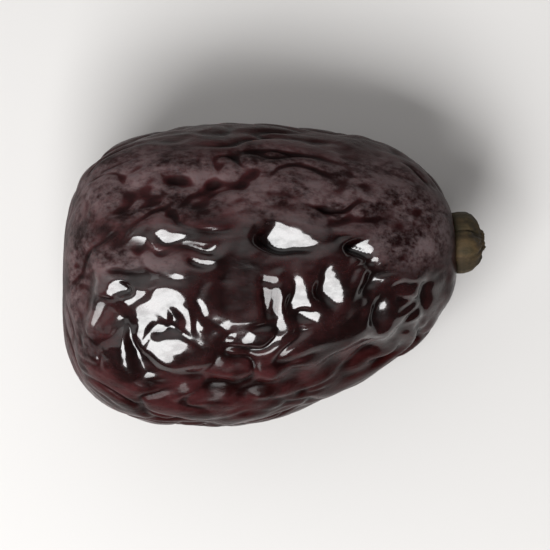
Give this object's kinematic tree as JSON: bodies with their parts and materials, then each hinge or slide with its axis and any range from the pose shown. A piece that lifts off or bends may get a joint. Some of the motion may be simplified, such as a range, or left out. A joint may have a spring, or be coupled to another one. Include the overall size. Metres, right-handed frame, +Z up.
{
  "type": "ajwa date",
  "caption": "Ripe dark date lying on its side, with a wrinkled glossy skin and a woody calyx on its neck; food prop for bowls, trays and table scenes.",
  "frame": {"origin": "under the middle of the date's bounding box, on the surface that the date rests on", "axes": "+X along the date from the blunt apex to the calyx, +Z up away from the surface it rests on"},
  "size_m": [0.0328, 0.0236, 0.0204],
  "materials": {
    "date_skin": "near-black purple-brown fruit skin, syrupy gloss on the folds and a faint dry bloom at the apex",
    "calyx_wood": "dry olive-brown plant fibre, matte"
  },
  "bodies": {
    "root": {"date_fruit": "date_skin", "calyx": "calyx_wood"}
  },
  "joints": []
}
